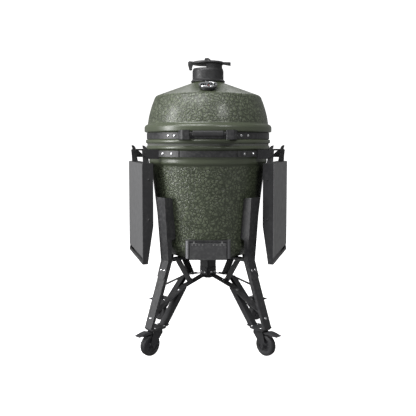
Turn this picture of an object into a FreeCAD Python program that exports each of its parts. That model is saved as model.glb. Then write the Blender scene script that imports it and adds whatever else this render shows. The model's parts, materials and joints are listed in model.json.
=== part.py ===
import FreeCAD, Part

import math
import os

from FreeCAD import Vector

# Ceramic charcoal grill with a hinged dome lid on a folded-steel stand.
# Millimetres. +Z is up, the grill's front faces -Y, and the origin is on the
# bowl's vertical axis at floor level.

# ---------------------------------------------------------------- dimensions
WALL = 25.0                 # ceramic wall thickness
BOWL_BASE_Z = 385.0
BOWL_FLOOR_Z = 405.0
BOWL_RIM_Z = 857.0
PARTING_Z = 866.0           # underside of the lid
RIM_R = 270.0               # bowl rim
LID_RIM_R = 272.5
LID_COLLAR_R = 278.0        # widest moulding, above the lid band
LID_TOP_Z = 1131.0          # top of the lid's neck
NECK_R = 69.0
THROAT_R = 50.0             # smoke opening in the lid

BAND_T = 3.5
BOWL_BAND_R = 266.0         # outside of the bowl's steel band
BOWL_BAND_Z = (812.0, 837.0)
LID_BAND_R = 268.5
LID_BAND_Z = (885.0, 911.0)

FRONT_REACH = 322.0         # handle's front face; the hinge reaches as far back
PIN_R = 5.0
RUNNING_GAP = 0.08          # radial clearance of every turning fit
BODY_GAP = 0.4              # clearance between parts that move past each other
HINGE_EAR_R = 18.0
HINGE_Y = FRONT_REACH - HINGE_EAR_R
HINGE_Z = PARTING_Z

SHEET = 3.0                 # steel sheet of the stand
LEG_TOP = (251.0, 376.0)    # radius and height of the leg's bend
LEG_FOOT = (347.0, 114.0)
LEG_TOP_WIDTH = 46.0
LEG_FOOT_WIDTH = 40.0
CRADLE_TOP = (276.0, 646.0)
CRADLE_TOP_WIDTH = 54.0
CRADLE_BEND_WIDTH = 48.0
DIAGONALS = {"front_right": -45.0, "rear_right": 45.0, "rear_left": 135.0, "front_left": -135.0}

POST_HALF = 27.0            # half the side of the square centre post
POST_FOOT_Z = 273.0
STRAP_T = 4.0               # flat strap from the post over the base arm to the leg
STRAP_HALF = 16.0
STRAP_START_Z = 287.0       # top of the strap where it leaves the post
STRAP_BEND = (146.0, 257.0)
STRAP_END_Z = 169.5         # where the strap turns down inside the leg
ARM_HALF = 14.0             # half the width of a base arm
ARM_SHOULDER_R = 180.0      # where a base arm leaves the underside of the strap
ARM_FOOT_R = (249.0, 277.0)  # arm on its foot plate
RING_Z = (373.0, 385.0)     # ring under the bowl
RING_R = (96.0, 140.0)
SPOKE_Z = (374.0, 385.0)
STRUT_T = 4.0
STRUT_HALF = 18.5
TAB_END_Z = 306.0           # lower end of the cradle arm's tab on the leg
FOOT_PLATE_Z = 110.0        # underside of the foot plate
CASTOR_PLATE_Z = 104.3      # underside of the fixed castor plate

SWIVEL_R = 305.0            # castor swivel axis from the grill's axis
WHEEL_OFFSET = 30.0         # wheel axle outside the swivel axis
WHEEL_R = 44.0
WHEEL_HALF_WIDTH = 14.0
FORK_INSIDE = 17.0          # half the gap between the fork's cheeks
WHEEL_R_AXIS = SWIVEL_R + WHEEL_OFFSET
AXLE_R = 5.0
PEDAL_PIVOT = (SWIVEL_R + 17.0, 92.5)
PEDAL_PIN_R = 2.3
PEDAL_TIP_R = 402.0

SHELF_TOE = 16.4            # degrees that each shelf turns from straight fore and aft
SHELF_PIVOT_X = 299.4       # pivot line's distance from the grill's axis
SHELF_PIVOT_Z = 829.0
SHELF_NEAR_Y = -110.0
SHELF_FAR_Y = 248.0
SHELF_FACE_X = SHELF_PIVOT_X + 14.0
SHELF_BACK_X = SHELF_PIVOT_X - 32.0
SHELF_TOP_Z = 784.0
SHELF_END_Z = 366.0
PANEL_END_Z = 394.0
CLAW_T = 5.0
NEAR_CLAW_Y = -107.4
FAR_CLAW_Y = 180.0
SHELF_PIN_R = 4.0

DRAWER_HALF_WIDTH = 76.0
DRAWER_Z = (397.0, 465.0)   # drawer front
DRAWER_FRONT_Y = -240.0
TRAY_BACK_Y = 60.0
TRAY_Z = (416.0, 446.0)
DRAFT_HOLE_PITCH = 14.0
DRAFT_HOLE_R = 3.2
DRAFT_HOLE_Z = DRAWER_Z[1] - 8.5
FINGER_TAB_X = 57.0

THERMOMETER_R = 180.0       # distance of the thermometer from the grill's axis
THERMOMETER_TILT = 20.2     # degrees between its axis and the vertical
CASE_R = 36.0
BEZEL_R = 38.0
BEZEL_LOW = 14.0            # bezel's lower edge along the thermometer's axis
NEEDLE_PIN_R = 1.2

VENT_Z = 1132.0             # underside of the vent's base casting
HOOD_Z = 1186.0             # top of the base casting
DISC_Z = 1210.0             # underside of the damper disc
DAMPER_TOP_Z = 1237.0

HANDLE_Z = (892.0, 917.0)
HANDLE_BLOCK_Z = (882.0, 919.0)
HANDLE_BAR_HALF = 66.0
HANDLE_BLOCK_X = (71.0, 107.0)
HANDLE_DEPTH = 27.0


# ---------------------------------------------------------------- shape tools
def face(points):
    """Flat face inside a closed outline of Vectors."""
    return Part.Face(Part.makePolygon(points + [points[0]]))


def revolve(profile):
    """Solid turned about Z from a closed (radius, height) outline."""
    flat = face([Vector(r, 0, z) for r, z in profile])
    return flat.revolve(Vector(0, 0, 0), Vector(0, 0, 1), 360)


def arc(start, through, end, steps=6):
    """Points of the circular arc from start to end, both included."""
    curve = Part.Arc(*(Vector(p[0], p[1], 0) for p in (start, through, end)))
    return [(p.x, p.y) for p in curve.discretize(steps + 1)]


def side_prism(profile, y_low, y_high):
    """Solid with an (x, z) outline, between two y values."""
    flat = face([Vector(x, y_low, z) for x, z in profile])
    return flat.extrude(Vector(0, y_high - y_low, 0))


def front_prism(profile, x_low, x_high):
    """Solid with a (y, z) outline, between two x values."""
    flat = face([Vector(x_low, y, z) for y, z in profile])
    return flat.extrude(Vector(x_high - x_low, 0, 0))


def plan_prism(profile, z_low, z_high):
    """Solid with an (x, y) outline, between two heights."""
    flat = face([Vector(x, y, z_low) for x, y in profile])
    return flat.extrude(Vector(0, 0, z_high - z_low))


def block(x, y, z):
    """Box between the low and high values of x, y and z."""
    return Part.makeBox(x[1] - x[0], y[1] - y[0], z[1] - z[0], Vector(x[0], y[0], z[0]))


def rod(start, end, radius):
    """Round rod between two points."""
    start, end = Vector(*start), Vector(*end)
    return Part.makeCylinder(radius, (end - start).Length, start, end - start)


def ring(inner, outer, z_low, z_high):
    """Plain ring about Z."""
    return revolve([(inner, z_low), (outer, z_low), (outer, z_high), (inner, z_high)])


def sector(inner, outer, z_low, z_high, from_deg, to_deg):
    """Part of a ring, between two angles measured from +X towards +Y."""
    flat = face([
        Vector(inner, 0, z_low),
        Vector(outer, 0, z_low),
        Vector(outer, 0, z_high),
        Vector(inner, 0, z_high),
    ])
    piece = flat.revolve(Vector(0, 0, 0), Vector(0, 0, 1), to_deg - from_deg)
    return turned(piece, from_deg)


def turned(shape, degrees):
    """Copy turned about the grill's vertical axis."""
    copy = shape.copy()
    copy.rotate(Vector(0, 0, 0), Vector(0, 0, 1), degrees)
    return copy


def mirrored(shape):
    """Copy on the other side of the grill's fore-and-aft plane."""
    return shape.mirror(Vector(0, 0, 0), Vector(1, 0, 0))


def fused(shapes):
    """One solid from shapes that meet."""
    whole = shapes[0]
    for other in shapes[1:]:
        whole = whole.fuse(other)
    return whole.removeSplitter()


def filleted(shape, radius, chosen):
    """Shape with a radius on every edge for which chosen(edge) is true."""
    edges = [edge for edge in shape.Edges if chosen(edge)]
    return shape.makeFillet(radius, edges)


def is_along(edge, axis):
    """Whether a straight edge runs along the unit vector axis."""
    if not isinstance(edge.Curve, Part.Line):
        return False
    return abs(abs(edge.Curve.Direction.dot(axis)) - 1) < 1e-6


def bolt(foot, direction, grip, head_r=6.0):
    """Domed bolt: its head stands on foot, its shank goes the other way."""
    head_h = 0.62 * head_r
    shank_r = 0.5 * head_r
    dome = [(x, y) for x, y in arc((head_r, 0.0), (0.75 * head_r, 0.75 * head_h), (0.0, head_h))]
    profile = dome[:-1] + [(0.0, head_h), (0.0, -grip), (shank_r, -grip), (shank_r, 0.0)]
    shape = revolve(profile)
    placement = FreeCAD.Placement()
    placement.Rotation = FreeCAD.Rotation(Vector(0, 0, 1), Vector(*direction))
    placement.Base = Vector(*foot)
    shape.Placement = placement
    return shape


def write(name, shapes):
    """Write one node. A node of several solids is a compound."""
    if not isinstance(shapes, list):
        shapes = [shapes]
    solids = [solid for shape in shapes for solid in shape.Solids]
    whole = solids[0] if len(solids) == 1 else Part.makeCompound(solids)
    whole.exportStep(f"parts/{name}.step")


# ------------------------------------------------------------ ceramic and fire
def bowl_radius(z):
    """Outside radius of the bowl's wall above its rounded base."""
    return 212.0 + (z - 452.0) * (250.0 - 212.0) / (777.0 - 452.0)


def bowl_outside():
    base_round = arc((150.0, BOWL_BASE_Z), (196.0, 402.0), (212.0, 452.0))
    return base_round + [
        (250.0, 777.0),
        (254.0, 780.0),
        (258.0, 784.0),
        (258.0, 806.0),
        (262.0, 810.0),
        (BOWL_BAND_R - BAND_T, 811.5),
        (BOWL_BAND_R - BAND_T, 840.0),
        (RIM_R, 843.0),
        (RIM_R, 853.0),
        (RIM_R - 4.0, BOWL_RIM_Z),
    ]


def bowl_inside():
    floor_round = arc((190.0, 468.0), (177.0, 423.0), (132.0, BOWL_FLOOR_Z))
    return [(RIM_R - 4.0 - WALL, BOWL_RIM_Z), (240.0, 800.0), (225.0, 777.0)] + floor_round


def drawer_passage(margin):
    """Space of the drawer through the bowl's front wall, wider by margin."""
    half = DRAWER_HALF_WIDTH + margin
    return block((-half, half), (-300.0, -90.0), (DRAWER_Z[0] + 12.0 - margin, DRAWER_Z[1] + margin))


def bowl():
    profile = [(0.0, BOWL_BASE_Z)] + bowl_outside() + bowl_inside() + [(0.0, BOWL_FLOOR_Z)]
    return revolve(profile).cut(drawer_passage(4.0))


def fire_box():
    """Ceramic cup that rests in the tapering bowl above the drawer."""
    outer = [
        (150.0, 476.0), (bowl_radius(480.0) - WALL - 3.0, 480.0), (bowl_radius(648.0) - WALL - 3.0, 648.0),
    ]
    inner = [(188.0, 650.0), (182.0, 640.0), (167.0, 508.0), (158.0, 498.0), (70.0, 498.0), (70.0, 476.0)]
    return revolve(outer + inner)


def fire_ring():
    return revolve([(186.0, 651.0), (206.0, 651.0), (217.0, 770.0), (196.0, 770.0)])


def slotted_disc(radius, z_low, z_high, rim, bar, pitch):
    """Grate: a rim with parallel bars and one cross bar."""
    disc = Part.makeCylinder(radius, z_high - z_low, Vector(0, 0, z_low))
    middle = Part.makeCylinder(radius - rim, z_high - z_low + 2.0, Vector(0, 0, z_low - 1.0))
    count = int((radius - rim) / pitch)
    bars = [
        block((-radius, radius), (i * pitch - bar / 2, i * pitch + bar / 2), (z_low - 1, z_high + 1))
        for i in range(-count, count + 1)
    ]
    bars.append(block((-bar, bar), (-radius, radius), (z_low - 1, z_high + 1)))
    return disc.cut(middle.cut(Part.makeCompound(bars)))


def lid_outside():
    dome = arc((263.5, 949.0), (257.5, 985.0), (235.0, 1056.0))
    shoulder = arc((235.0, 1056.0), (230.5, 1066.0), (220.0, 1073.5))
    return [
        (LID_RIM_R - 4.0, PARTING_Z),
        (LID_RIM_R, 869.0),
        (LID_RIM_R, 880.0),
        (LID_BAND_R - BAND_T, 884.0),
        (LID_BAND_R - BAND_T, 912.0),
        (LID_COLLAR_R, 915.0),
        (LID_COLLAR_R, 938.0),
        (LID_COLLAR_R - 4.0, 943.0),
    ] + dome + shoulder[1:] + [(74.0, 1127.0), (NECK_R, LID_TOP_Z)]


def lid_inside():
    dome = arc((212.0, 1050.0), (230.0, 1005.0), (239.0, 940.0))
    return [(THROAT_R, LID_TOP_Z), (THROAT_R, 1112.0)] + dome + [(246.0, 915.0), (246.0, PARTING_Z)]


def lid():
    return revolve(lid_outside() + lid_inside()).cut(thermometer_stem(4.0))


def band(outer, heights):
    return ring(outer - BAND_T, outer, *heights)


# ------------------------------------------------------------------ thermometer
def on_thermometer_axis(shape):
    """Place a shape built about Z at the thermometer's seat on the lid."""
    seat_z = 1073.5 + (220.0 - THERMOMETER_R) * (1127.0 - 1073.5) / (220.0 - 74.0)
    placed = shape.copy()
    placed.rotate(Vector(0, 0, 0), Vector(1, 0, 0), THERMOMETER_TILT)
    placed.translate(Vector(0, -THERMOMETER_R, seat_z))
    return placed


def thermometer_stem(radius):
    return on_thermometer_axis(Part.makeCylinder(radius, 90.0, Vector(0, 0, -80.0)))


def thermometer_case():
    """Case, stem and bezel; the dial and the lens sit inside the bezel."""
    low, top = BEZEL_LOW, BEZEL_LOW + 7.0
    cup = revolve([
        (0.0, 1.0), (26.0, 1.0), (26.0, 5.0), (CASE_R, 6.0), (CASE_R, low),
        (BEZEL_R, low), (BEZEL_R, top - 2.0), (BEZEL_R - 1.5, top), (BEZEL_R - 4.0, top - 1.0),
        (BEZEL_R - 4.0, low - 3.0), (0.0, low - 3.0),
    ])
    stem = Part.makeCylinder(3.0, 76.0, Vector(0, 0, -75.0))
    return on_thermometer_axis(fused([cup, stem]))


def thermometer_dial():
    plate = ring(NEEDLE_PIN_R + RUNNING_GAP, BEZEL_R - 4.2, BEZEL_LOW - 3.0, BEZEL_LOW - 2.0)
    return on_thermometer_axis(plate)


def thermometer_needle():
    low = BEZEL_LOW - 0.8
    blade = plan_prism([(-2.2, -9.0), (2.2, -9.0), (1.0, 27.0), (-1.0, 27.0)], low, low + 0.8)
    spindle = Part.makeCylinder(NEEDLE_PIN_R, 2.6, Vector(0, 0, BEZEL_LOW - 2.6))
    cap = Part.makeCylinder(4.0, 1.0, Vector(0, 0, low))
    needle = fused([blade, spindle, cap])
    needle.rotate(Vector(0, 0, 0), Vector(0, 0, 1), 130.0)
    return on_thermometer_axis(needle)


def thermometer_lens():
    return on_thermometer_axis(Part.makeCylinder(BEZEL_R - 4.2, 1.5, Vector(0, 0, BEZEL_LOW + 3.0)))


# --------------------------------------------------------------------- top vent
def vent_base():
    return revolve([
        (THROAT_R, VENT_Z), (74.0, VENT_Z), (75.0, VENT_Z + 4.0), (70.0, VENT_Z + 9.0), (68.0, VENT_Z + 12.0),
        (68.0, HOOD_Z - 6.0), (66.0, HOOD_Z), (THROAT_R, HOOD_Z),
    ])


def vent_hood():
    """Turning hood: a ring on the base and a wall round its right half."""
    low = HOOD_Z + BODY_GAP
    foot = ring(THROAT_R, 65.0, low, low + 4.0)
    wall = sector(57.5, 62.3, low + 3.0, DISC_Z - BODY_GAP, -97.0, 97.0)
    return fused([foot, wall])


def vent_damper():
    """Domed disc that closes the hood, with a tab, a lug and a knob."""
    disc = revolve([
        (0.0, DISC_Z), (69.0, DISC_Z), (70.5, DISC_Z + 2.0), (70.5, DISC_Z + 7.5), (66.0, DISC_Z + 10.0),
        (30.0, DISC_Z + 13.0), (0.0, DISC_Z + 13.5),
    ])
    tab = side_prism([
        (64.0, DISC_Z + 1.0), (96.0, DISC_Z - 5.0), (98.7, DISC_Z - 6.0), (98.7, DISC_Z + 7.0),
        (95.0, DISC_Z + 8.5), (64.0, DISC_Z + 9.0),
    ], -13.0, 13.0)
    lug = side_prism([
        (-64.0, DISC_Z + 1.5), (-68.0, DISC_Z - 8.0), (-70.0, DISC_Z - 22.0), (-74.0, DISC_Z - 26.0),
        (-82.0, DISC_Z - 24.0), (-87.0, DISC_Z - 4.0), (-87.0, DISC_Z + 8.0), (-81.0, DISC_Z + 13.0),
        (-62.0, DISC_Z + 11.0),
    ], -12.0, 12.0)
    knob = side_prism([
        (-15.0, DISC_Z + 11.0), (-15.0, DAMPER_TOP_Z - 4.0), (-11.0, DAMPER_TOP_Z), (2.0, DAMPER_TOP_Z),
        (13.0, DAMPER_TOP_Z - 9.0), (15.0, DISC_Z + 11.0),
    ], -9.0, 9.0)
    knob = knob.cut(rod((1.0, -10.0, DAMPER_TOP_Z - 8.0), (1.0, 10.0, DAMPER_TOP_Z - 8.0), 2.6))
    return fused([disc, tab, lug, knob])


# ----------------------------------------------------------- handle and hinge
def handle_bar():
    bar_y = (-FRONT_REACH, -FRONT_REACH + HANDLE_DEPTH)
    bar = block((-HANDLE_BAR_HALF, HANDLE_BAR_HALF), bar_y, HANDLE_Z)
    bar = filleted(bar, 9.0, lambda edge: is_along(edge, Vector(1, 0, 0)))
    middle_y = -FRONT_REACH + HANDLE_DEPTH / 2
    middle_z = sum(HANDLE_Z) / 2
    reach = HANDLE_BLOCK_X[0]
    spigot = rod((-reach, middle_y, middle_z), (reach, middle_y, middle_z), 8.0)
    return fused([bar, spigot])


def handle_bracket():
    """Right end block of the handle with its arm back to the lid band."""
    inner, outer = HANDLE_BLOCK_X
    plan = [
        (inner, -FRONT_REACH), (outer - 8.0, -FRONT_REACH), (outer, -FRONT_REACH + 8.0),
        (outer + 12.0, -240.0), (outer - 14.0, -240.0), (inner, -292.0),
    ]
    bracket = plan_prism(plan, *HANDLE_BLOCK_Z)
    bracket = filleted(bracket, 4.0,
                       lambda edge: is_along(edge, Vector(0, 0, 1)) and edge.BoundBox.YMax < -300.0)
    collar = revolve([(0.0, 860.0), (LID_RIM_R + 1.0, 860.0), (LID_RIM_R + 1.0, 882.5),
                      (LID_BAND_R, 884.5), (LID_BAND_R, 912.0), (LID_COLLAR_R + 1.0, 913.0),
                      (LID_COLLAR_R + 1.0, 960.0), (0.0, 960.0)])
    return bracket.cut(collar)


def lid_band_nuts():
    """Pairs of dome nuts on the lid band beside the handle."""
    nuts = []
    for degrees in (-126.8, -119.8, -60.2, -53.2):
        direction = (math.cos(math.radians(degrees)), math.sin(math.radians(degrees)), 0.0)
        foot = (direction[0] * LID_BAND_R, direction[1] * LID_BAND_R, 898.0)
        nuts.append(bolt(foot, direction, BAND_T))
    return nuts


def hinge_ear(x_low, x_high, foot_z, bore_r):
    """Ear from a band at the heights foot_z to the hinge pin."""
    web = front_prism([
        (255.0, foot_z[0]), (255.0, foot_z[1]),
        (HINGE_Y - 12.0, HINGE_Z - 9.0), (HINGE_Y + 14.0, HINGE_Z - 8.0),
        (HINGE_Y - 6.0, foot_z[0]),
    ], x_low, x_high)
    boss = rod((x_low, HINGE_Y, HINGE_Z), (x_high, HINGE_Y, HINGE_Z), HINGE_EAR_R)
    bore = rod((x_low - 1, HINGE_Y, HINGE_Z), (x_high + 1, HINGE_Y, HINGE_Z), bore_r)
    return web.fuse(boss).cut(bore)


def hinge_bracket():
    """Fixed half of the hinge, on the bowl band."""
    plate = sector(BOWL_BAND_R, BOWL_BAND_R + 4.0, *BOWL_BAND_Z, 70.0, 110.0)
    ears = [hinge_ear(x, x + 5.0, (BOWL_BAND_Z[0], BOWL_BAND_Z[1] + 4.0), PIN_R) for x in (60.0, -65.0)]
    inside = Part.makeCylinder(BOWL_BAND_R, 100.0, Vector(0, 0, 790.0))
    rim = Part.makeCylinder(RIM_R + 0.5, 60.0, Vector(0, 0, 839.0))
    return fused([plate] + ears).cut(inside).cut(rim)


def hinge_arm():
    """Moving half of the hinge, on the lid band."""
    plate = sector(LID_BAND_R, LID_BAND_R + 4.0, *LID_BAND_Z, 70.0, 110.0)
    bore_r = PIN_R + RUNNING_GAP
    ears = []
    for x in (50.0, -55.0):
        web = front_prism([
            (255.0, LID_BAND_Z[0]), (255.0, LID_BAND_Z[1]), (290.0, LID_BAND_Z[1]),
            (HINGE_Y + 12.0, HINGE_Z + 8.0), (HINGE_Y - 10.0, HINGE_Z + 2.0), (282.0, LID_BAND_Z[0]),
        ], x, x + 5.0)
        boss = rod((x, HINGE_Y, HINGE_Z), (x + 5.0, HINGE_Y, HINGE_Z), 14.0)
        bore = rod((x - 1, HINGE_Y, HINGE_Z), (x + 6.0, HINGE_Y, HINGE_Z), bore_r)
        ears.append(web.fuse(boss).cut(bore))
    inside = Part.makeCylinder(LID_BAND_R, 100.0, Vector(0, 0, 850.0))
    rim = Part.makeCylinder(LID_RIM_R + 0.5, 24.0, Vector(0, 0, 860.0))
    return fused([plate] + ears).cut(inside).cut(rim)


def hinge_pin():
    return rod((-72.0, HINGE_Y, HINGE_Z), (72.0, HINGE_Y, HINGE_Z), PIN_R)


def hinge_springs():
    """Outer shape of the two torsion springs on the pin."""
    springs = []
    for x in (6.0, -46.0):
        sleeve = rod((x, HINGE_Y, HINGE_Z), (x + 40.0, HINGE_Y, HINGE_Z), 11.0)
        springs.append(sleeve.cut(rod((x - 1, HINGE_Y, HINGE_Z), (x + 41.0, HINGE_Y, HINGE_Z), 7.0)))
    return springs


# ------------------------------------------------------------------------ stand
# Each corner member is built with +X pointing outwards and is then turned
# onto its diagonal.
def leg_radius(z):
    """Outside of the leg's web at height z."""
    return LEG_TOP[0] + (LEG_TOP[1] - z) * (LEG_FOOT[0] - LEG_TOP[0]) / (LEG_TOP[1] - LEG_FOOT[1])


def taper_prism(low, high):
    """Slab that is as wide as low[1] at height low[0], and high[1] at high[0]."""
    outline = [(-low[1] / 2, low[0]), (low[1] / 2, low[0]), (high[1] / 2, high[0]), (-high[1] / 2, high[0])]
    return front_prism(outline, 150.0, 400.0)


def channel(outline, web_behind, low, high):
    """Folded channel: the outline's two side plates and the web that joins them."""
    outer = side_prism(outline, -60.0, 60.0).common(taper_prism(low, high))
    inner_low = (low[0], low[1] - 2 * SHEET)
    inner_high = (high[0], high[1] - 2 * SHEET)
    hollow = side_prism(web_behind, -60.0, 60.0).common(taper_prism(inner_low, inner_high))
    return outer.cut(hollow)


def leg():
    depth = 14.0
    top_r, top_z = LEG_TOP
    foot_r, foot_z = LEG_FOOT
    outline = [(top_r, top_z), (foot_r, foot_z), (foot_r - depth, foot_z), (top_r - depth, top_z)]
    behind = [
        (top_r - SHEET, top_z + 1.0), (foot_r - SHEET, foot_z - 1.0),
        (foot_r - 60.0, foot_z - 1.0), (top_r - 60.0, top_z + 1.0),
    ]
    low = (foot_z - 2.0, LEG_FOOT_WIDTH)
    high = (top_z + 2.0, LEG_TOP_WIDTH)
    return channel(outline, behind, low, high)


def cradle_arm():
    """Upper corner arm: channel, wings to the bowl, and the tab over the leg."""
    top_r, top_z = CRADLE_TOP
    bend_r = LEG_TOP[0] + SHEET + 0.5
    bend_z = LEG_TOP[1] + 2.0
    outline = [
        (top_r, top_z), (bowl_radius(640.0) + 1.0, 640.0), (bowl_radius(472.0) + 1.0, 472.0),
        (236.0, 466.0), (237.0, bend_z), (bend_r, bend_z),
    ]
    behind = [
        (top_r - SHEET, top_z + 1.0), (180.0, top_z + 1.0),
        (180.0, bend_z - 1.0), (bend_r - SHEET, bend_z - 1.0),
    ]
    low = (bend_z - 2.0, CRADLE_BEND_WIDTH)
    high = (top_z + 2.0, CRADLE_TOP_WIDTH)
    body = channel(outline, behind, low, high)
    tab_outline = [
        (bend_r - SHEET, bend_z + 4.0), (leg_radius(TAB_END_Z) + 0.3, TAB_END_Z),
        (leg_radius(TAB_END_Z) + 0.3 + SHEET, TAB_END_Z), (bend_r, bend_z + 4.0),
    ]
    half = CRADLE_BEND_WIDTH / 2 - 1.0
    tab_face = front_prism([
        (-half + 8.0, TAB_END_Z), (half - 8.0, TAB_END_Z), (half, TAB_END_Z + 12.0), (half, bend_z + 4.0),
        (-half, bend_z + 4.0), (-half, TAB_END_Z + 12.0),
    ], 200.0, 320.0)
    tab = side_prism(tab_outline, -60.0, 60.0).common(tab_face)
    return fused([body, tab])


def strap_top_z(r):
    """Height of the strap's top at radius r."""
    if r < STRAP_BEND[0]:
        start, end = (POST_HALF, STRAP_START_Z), STRAP_BEND
    else:
        start, end = STRAP_BEND, (leg_radius(STRAP_END_Z) - SHEET, STRAP_END_Z)
    return start[1] + (r - start[0]) * (end[1] - start[1]) / (end[0] - start[0])


def strap():
    """Flat strap from the post's flange over the base arm to a tab inside the leg."""
    web_gap = SHEET + 0.4
    tab_end_z = 143.0
    profile = [
        (POST_HALF + 1.0, strap_top_z(POST_HALF + 1.0)), STRAP_BEND,
        (leg_radius(STRAP_END_Z) - web_gap, STRAP_END_Z), (leg_radius(tab_end_z) - web_gap, tab_end_z),
        (leg_radius(tab_end_z) - web_gap - STRAP_T, tab_end_z),
        (leg_radius(STRAP_END_Z - 3.0) - web_gap - STRAP_T, STRAP_END_Z - 3.0),
        (STRAP_BEND[0] - 1.0, STRAP_BEND[1] - 4.3), (POST_HALF + 1.0, STRAP_START_Z - 4.2),
    ]
    flange = block((POST_HALF, POST_HALF + SHEET), (-21.0, 21.0), (POST_FOOT_Z, 318.0))
    return side_prism(profile, -STRAP_HALF, STRAP_HALF).fuse(flange)


def base_arm():
    """Folded arm from the strap's bend steeply down to the castor's foot plate."""
    foot_top = FOOT_PLATE_Z + 4.0
    start_r = STRAP_BEND[0] - 2.0
    top_line = [
        (start_r, STRAP_BEND[1] - 4.0), (ARM_SHOULDER_R, strap_top_z(ARM_SHOULDER_R) - 4.0),
        (ARM_FOOT_R[1], foot_top),
    ]
    bottom_line = [(ARM_FOOT_R[0], foot_top), (start_r, STRAP_BEND[1] - 10.0)]
    outer = side_prism(top_line + bottom_line, -ARM_HALF, ARM_HALF)
    under = [(r - 2.3, z - 2.6) for r, z in top_line]
    under[0] = (start_r - 10.0, STRAP_BEND[1] - 2.0)
    hollow = side_prism(under + [(100.0, foot_top - 2.6)], -ARM_HALF + SHEET, ARM_HALF - SHEET)
    inner_r, wide_r, outer_r = ARM_FOOT_R[0] - 4.0, SWIVEL_R - 30.0, LEG_FOOT[0] - 2.0
    foot = plan_prism([
        (inner_r, -17.0), (wide_r, -28.0), (outer_r, -28.0),
        (outer_r, 28.0), (wide_r, 28.0), (inner_r, 17.0),
    ], FOOT_PLATE_Z, foot_top)
    foot = filleted(foot, 5.0, lambda edge: is_along(edge, Vector(0, 0, 1)))
    return fused([strap(), outer.cut(hollow), foot])


def strut():
    """Flat brace from the strap up to a spoke of the ring, with a bent foot."""
    foot_in, foot_out, head = 88.0, 112.0, 178.0
    z_in = strap_top_z(foot_in)
    z_out = strap_top_z(foot_out)
    profile = [
        (foot_in, z_in), (foot_out, z_out), (head + 5.0, SPOKE_Z[0]), (head, SPOKE_Z[0]),
        (foot_out - 3.0, z_out + STRUT_T), (foot_in, z_in + STRUT_T),
    ]
    return side_prism(profile, -STRUT_HALF, STRUT_HALF)


def cradle_ring():
    """Ring under the bowl with a spoke to each corner."""
    parts = [ring(*RING_R, *RING_Z)]
    for degrees in DIAGONALS.values():
        spoke = block((RING_R[1] - 8.0, 236.5), (-16.0, 16.0), SPOKE_Z)
        parts.append(turned(spoke, degrees))
    return fused(parts)


def centre_post():
    outer = block((-POST_HALF, POST_HALF), (-POST_HALF, POST_HALF), (POST_FOOT_Z, RING_Z[0]))
    outer = filleted(outer, 7.0, lambda edge: is_along(edge, Vector(0, 0, 1)))
    inside = POST_HALF - SHEET
    tube = outer.cut(block((-inside, inside), (-inside, inside), (200.0, 400.0)))
    cap = block((-150.0, 150.0), (-24.0, 24.0), (RING_Z[0] - 4.0, RING_Z[0]))
    cross = cap.fuse(turned(cap, 90.0))
    return turned(fused([tube, cross]), 45.0)


def corner_bolts():
    """Bolts of one corner of the stand."""
    slope = math.atan2(LEG_FOOT[0] - LEG_TOP[0], LEG_TOP[1] - LEG_FOOT[1])
    outward = (math.cos(slope), 0.0, math.sin(slope))
    bolts = []
    for y in (-10.0, 10.0):
        foot = (leg_radius(342.0) + 0.3 + SHEET, y, 342.0)
        bolts.append(bolt(foot, outward, 9.0))
        bolts.append(bolt((POST_HALF + SHEET, y, 297.0), (1.0, 0.0, 0.0), 8.0))
    bolts.append(bolt((leg_radius(153.0), 0.0, 153.0), outward, 8.5))
    for r, lift, grip in ((175.0, 0.0, 9.0), (100.0, STRUT_T, 11.0)):
        fall = math.atan(strap_top_z(r) - strap_top_z(r + 1.0))
        bolts.append(bolt((r, 0.0, strap_top_z(r) + lift), (math.sin(fall), 0.0, math.cos(fall)), grip))
    for y in (-20.0, 20.0):
        for r in (SWIVEL_R - 28.0, SWIVEL_R + 20.0):
            bolts.append(bolt((r, y, FOOT_PLATE_Z + 4.0), (0.0, 0.0, 1.0), 9.5, 5.0))
    return bolts


def castor_plate():
    plate = block((SWIVEL_R - 36.0, SWIVEL_R + 36.0), (-27.0, 27.0), (CASTOR_PLATE_Z, FOOT_PLATE_Z))
    return filleted(plate, 6.0, lambda edge: is_along(edge, Vector(0, 0, 1)))


# ---------------------------------------------------------------------- castors
def fork():
    """Swivel head, two cheeks, the wheel axle and the pedal pin."""
    top = CASTOR_PLATE_Z - BODY_GAP
    head = revolve([(0.0, 97.0), (24.0, 97.0), (26.0, 99.0), (26.0, top), (0.0, top)])
    head.translate(Vector(SWIVEL_R, 0, 0))
    cheeks = []
    for y in (FORK_INSIDE, -FORK_INSIDE - SHEET):
        outline = [
            (SWIVEL_R - 20.0, 100.0), (SWIVEL_R - 21.0, 88.0), (SWIVEL_R + 2.0, 62.0),
            (WHEEL_R_AXIS - 11.0, 40.0), (WHEEL_R_AXIS - 4.0, 34.0), (WHEEL_R_AXIS + 4.0, 34.0),
            (WHEEL_R_AXIS + 11.0, 40.0), (WHEEL_R_AXIS + 11.0, 50.0), (SWIVEL_R + 31.0, 86.0),
            (SWIVEL_R + 26.0, 100.0),
        ]
        cheeks.append(side_prism(outline, y, y + SHEET))
    bridge = block((SWIVEL_R - 20.0, SWIVEL_R + 6.0), (-FORK_INSIDE, FORK_INSIDE), (97.0, 100.0))
    ends = FORK_INSIDE + SHEET + 3.0
    axle = rod((WHEEL_R_AXIS, -ends, WHEEL_R), (WHEEL_R_AXIS, ends, WHEEL_R), AXLE_R)
    pivot_r, pivot_z = PEDAL_PIVOT
    pin = rod((pivot_r, -ends + 2.0, pivot_z), (pivot_r, ends - 2.0, pivot_z), PEDAL_PIN_R)
    return fused([head, bridge] + cheeks + [axle, pin])


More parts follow.
